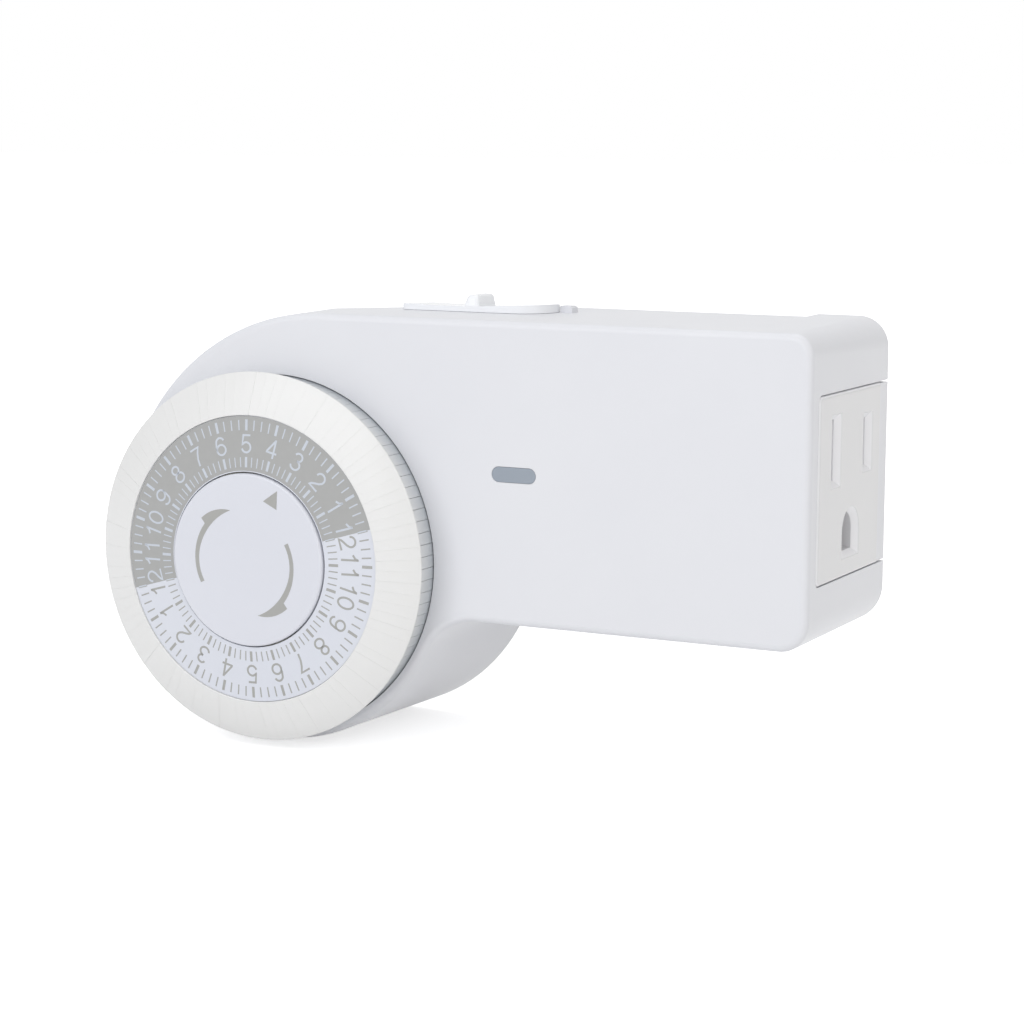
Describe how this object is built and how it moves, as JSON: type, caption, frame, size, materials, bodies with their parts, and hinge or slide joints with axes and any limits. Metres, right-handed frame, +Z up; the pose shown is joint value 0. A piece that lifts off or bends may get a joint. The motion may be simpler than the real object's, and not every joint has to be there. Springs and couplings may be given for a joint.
{
  "type": "plug-in timer switch",
  "caption": "Plug-in mechanical timer: round housing with a 24-hour dial and ring of push-in trippers, flat bar with slide switch, lamp, one grounded outlet and a wall plug.",
  "frame": {"origin": "root of the ground pin, on its axis, at the back face of the case", "axes": "+X along the bar towards the outlet, +Y back along the plug's pins, +Z up"},
  "size_m": [0.1125, 0.0601, 0.0668],
  "materials": {
    "housing": "fine satin moulding",
    "tripper": "smooth moulding",
    "dial_print": "smooth, printed",
    "dial_white": "smooth moulding",
    "cap": "smooth moulding",
    "outlet": "smooth moulding",
    "lens": "translucent",
    "knob": "smooth moulding",
    "gear_nylon": "moulded nylon",
    "phenolic": "moulded, dark",
    "brass": "stamped",
    "nickel": "plated",
    "steel": "drawn",
    "zinc": "zinc plated",
    "coil": "taped winding",
    "ferrite": "ferrite magnet on a steel shaft",
    "lamp_glass": "clear",
    "lead": "insulated wire",
    "resistor": "lacquered"
  },
  "bodies": {
    "case": {"front_shell": "housing", "back_cover": "housing", "case_screws": "zinc", "centre_cap": "cap", "dial_post": "gear_nylon", "pivot_pins": "steel", "movement_plate": "zinc", "motor_can": "zinc", "motor_coil": "coil", "motor_leads": "lead", "mode_switch_body": "phenolic", "mode_terminals": "brass", "snap_switch_body": "phenolic", "snap_leaf": "brass", "lever_pin": "steel", "hot_blade": "nickel", "neutral_blade": "nickel", "ground_pin": "nickel", "supply_bar": "brass", "load_bar": "brass", "neutral_bar": "brass", "ground_bar": "brass", "hot_contact": "brass", "neutral_contact": "brass", "ground_contact": "brass", "indicator_lens": "lens", "neon_lamp": "lamp_glass", "lamp_resistor": "resistor", "outlet_face": "outlet", "shutter_spring": "steel"},
    "dial": {"dial_wheel": "dial_white", "dial_face": "dial_print", "trip_guide": "dial_white"},
    "trippers_01": {"trippers_01": "tripper"},
    "trippers_02": {"trippers_02": "tripper"},
    "trippers_03": {"trippers_03": "tripper"},
    "trippers_04": {"trippers_04": "tripper"},
    "trippers_05": {"trippers_05": "tripper"},
    "trippers_06": {"trippers_06": "tripper"},
    "trippers_07": {"trippers_07": "tripper"},
    "trippers_08": {"trippers_08": "tripper"},
    "trippers_09": {"trippers_09": "tripper"},
    "trippers_10": {"trippers_10": "tripper"},
    "trippers_11": {"trippers_11": "tripper"},
    "trippers_12": {"trippers_12": "tripper"},
    "second_wheel": {"second_wheel": "gear_nylon"},
    "first_wheel": {"first_wheel": "gear_nylon"},
    "rotor": {"motor_rotor": "ferrite"},
    "mode_slide": {"mode_knob": "knob", "mode_contact": "brass"},
    "trip_lever": {"trip_lever": "gear_nylon"},
    "plunger": {"snap_plunger": "gear_nylon"},
    "shutter": {"outlet_shutter": "outlet"}
  },
  "joints": [
    {"name": "dial_spin", "type": "hinge", "parent": "case", "child": "dial", "pos_m": [-0.052, -0.0308, -0.00726], "axis": [0, 1, 0], "continuous": true},
    {"name": "second_spin", "type": "hinge", "parent": "case", "child": "second_wheel", "pos_m": [-0.03791, -0.0223, -0.01239], "axis": [0, 1, 0], "continuous": true},
    {"name": "first_spin", "type": "hinge", "parent": "case", "child": "first_wheel", "pos_m": [-0.02942, -0.0208, -0.00391], "axis": [0, 1, 0], "continuous": true},
    {"name": "rotor_spin", "type": "hinge", "parent": "case", "child": "rotor", "pos_m": [-0.0407, -0.0128, -0.00801], "axis": [0, 1, 0], "continuous": true},
    {"name": "push_01", "type": "slide", "parent": "dial", "child": "trippers_01", "axis": [0, 1, 0], "range_m": [0, 0.0016]},
    {"name": "push_02", "type": "slide", "parent": "dial", "child": "trippers_02", "axis": [0, 1, 0], "range_m": [0, 0.0016]},
    {"name": "push_03", "type": "slide", "parent": "dial", "child": "trippers_03", "axis": [0, 1, 0], "range_m": [0, 0.0016]},
    {"name": "push_04", "type": "slide", "parent": "dial", "child": "trippers_04", "axis": [0, 1, 0], "range_m": [0, 0.0016]},
    {"name": "push_05", "type": "slide", "parent": "dial", "child": "trippers_05", "axis": [0, 1, 0], "range_m": [0, 0.0016]},
    {"name": "push_06", "type": "slide", "parent": "dial", "child": "trippers_06", "axis": [0, 1, 0], "range_m": [0, 0.0016]},
    {"name": "push_07", "type": "slide", "parent": "dial", "child": "trippers_07", "axis": [0, 1, 0], "range_m": [0, 0.0016]},
    {"name": "push_08", "type": "slide", "parent": "dial", "child": "trippers_08", "axis": [0, 1, 0], "range_m": [0, 0.0016]},
    {"name": "push_09", "type": "slide", "parent": "dial", "child": "trippers_09", "axis": [0, 1, 0], "range_m": [0, 0.0016]},
    {"name": "push_10", "type": "slide", "parent": "dial", "child": "trippers_10", "axis": [0, 1, 0], "range_m": [0, 0.0016]},
    {"name": "push_11", "type": "slide", "parent": "dial", "child": "trippers_11", "axis": [0, 1, 0], "range_m": [0, 0.0016]},
    {"name": "push_12", "type": "slide", "parent": "dial", "child": "trippers_12", "axis": [0, 1, 0], "range_m": [0, 0.0016]},
    {"name": "mode_slide_travel", "type": "slide", "parent": "case", "child": "mode_slide", "axis": [1, 0, 0], "range_m": [-0.0032, 0]},
    {"name": "lever_rock", "type": "hinge", "parent": "case", "child": "trip_lever", "pos_m": [-0.027, -0.0234, 0.01064], "axis": [0, 0, -1], "range_deg": [0, 6], "stiffness_Nm_per_rad": 0.01},
    {"name": "plunger_travel", "type": "slide", "parent": "case", "child": "plunger", "axis": [0, 1, 0], "range_m": [0, 0.00048]},
    {"name": "shutter_travel", "type": "slide", "parent": "case", "child": "shutter", "axis": [0, -1, 0], "range_m": [0, 0.003], "stiffness_N_per_m": 30, "deforming": ["shutter_spring"]}
  ],
  "couplings": [
    {"joint": "second_spin", "follows": "dial_spin", "ratio": -4},
    {"joint": "first_spin", "follows": "dial_spin", "ratio": 16},
    {"joint": "rotor_spin", "follows": "dial_spin", "ratio": -64},
    {"joint": "plunger_travel", "follows": "lever_rock", "m_per_rad": 0.0045}
  ]
}
